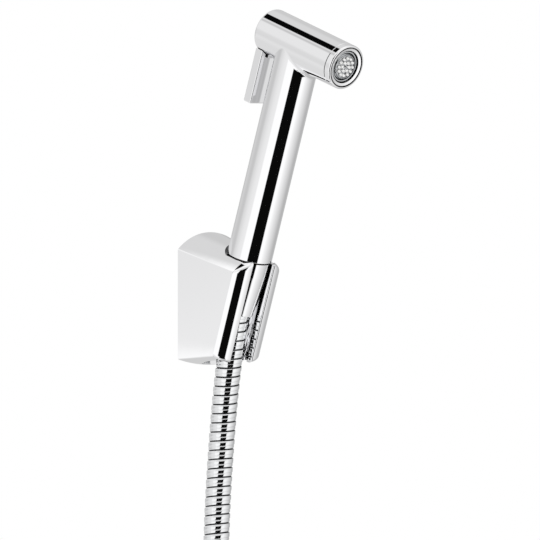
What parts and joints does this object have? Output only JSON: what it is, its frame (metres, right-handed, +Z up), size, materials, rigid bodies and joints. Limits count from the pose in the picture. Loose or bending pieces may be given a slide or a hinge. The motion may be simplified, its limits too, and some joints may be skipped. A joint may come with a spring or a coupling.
{
  "type": "handheld bidet shower",
  "caption": "Chrome handheld bidet spray with a trigger lever, resting in an open wedge-shaped wall holder, with a metal hose and its union nut.",
  "frame": {"origin": "middle of the holder's wall face", "axes": "+Y into the wall, +Z up, +X along the wall to the right when facing it"},
  "size_m": [0.168, 0.1108, 0.5281],
  "materials": {
    "plated_plastic": "chrome-plated moulding",
    "plated_brass": "chrome-plated, polished",
    "plate_plastic": "moulded, satin",
    "silicone": "moulded, translucent white",
    "seal_rubber": "moulded, black",
    "valve_plastic": "moulded acetal",
    "bare_brass": "turned",
    "spring_steel": "drawn stainless",
    "hose_metal": "interlocked strip, plated",
    "tie_plastic": "moulded, white"
  },
  "bodies": {
    "root": {"bracket_body": "plated_plastic", "handset_body": "plated_brass", "front_ring": "plated_brass", "spray_plate": "plate_plastic", "nozzle_mat": "silicone", "face_seal": "seal_rubber", "valve_body": "valve_plastic", "body_orings": "seal_rubber", "valve_seat": "bare_brass", "spindle_oring": "seal_rubber", "valve_spring": "spring_steel", "lever_pin": "spring_steel", "inlet_connector": "bare_brass", "connector_oring": "seal_rubber", "check_valve_body": "valve_plastic", "check_valve_cap": "valve_plastic", "check_valve_spring": "spring_steel", "hose_washer_top": "seal_rubber", "hose_tail_top": "bare_brass", "hose_ferrule_top": "spring_steel", "hose_cone_nut": "plated_brass", "hose": "hose_metal", "hose_coil": "hose_metal", "hose_ferrule_end": "spring_steel", "hose_tail_end": "bare_brass", "hose_washer_end": "seal_rubber", "coil_ties": "tie_plastic"},
    "lever": {"lever": "plated_brass"},
    "spindle": {"valve_spindle": "bare_brass", "valve_seal": "seal_rubber"},
    "check_poppet": {"check_valve_poppet": "valve_plastic"},
    "end_nut": {"hose_end_nut": "plated_brass"}
  },
  "joints": [
    {"name": "lever_hinge", "type": "hinge", "parent": "root", "child": "lever", "pos_m": [0, -0.05399, 0.1411], "axis": [-1, 0, 0], "range_deg": [0, 9.4], "stiffness_Nm_per_rad": 0.1, "springref_deg": -11.46},
    {"name": "spindle_draw", "type": "hinge", "parent": "lever", "child": "spindle", "pos_m": [0, -0.05641, 0.14659], "axis": [-1, 0, 0], "range_deg": [-9.4, 0], "deforming": ["valve_spring"]},
    {"name": "check_poppet_slide", "type": "slide", "parent": "root", "child": "check_poppet", "axis": [0, -0.3272, 0.9449], "range_m": [0, 0.0025], "stiffness_N_per_m": 60, "springref_m": -0.002, "deforming": ["check_valve_spring"]},
    {"name": "end_nut_spin", "type": "hinge", "parent": "root", "child": "end_nut", "pos_m": [-0.06184, -0.0438, -0.22817], "axis": [-0.8271, 0, -0.5621], "continuous": true}
  ],
  "couplings": [
    {"joint": "spindle_draw", "follows": "lever_hinge", "ratio": -1}
  ]
}
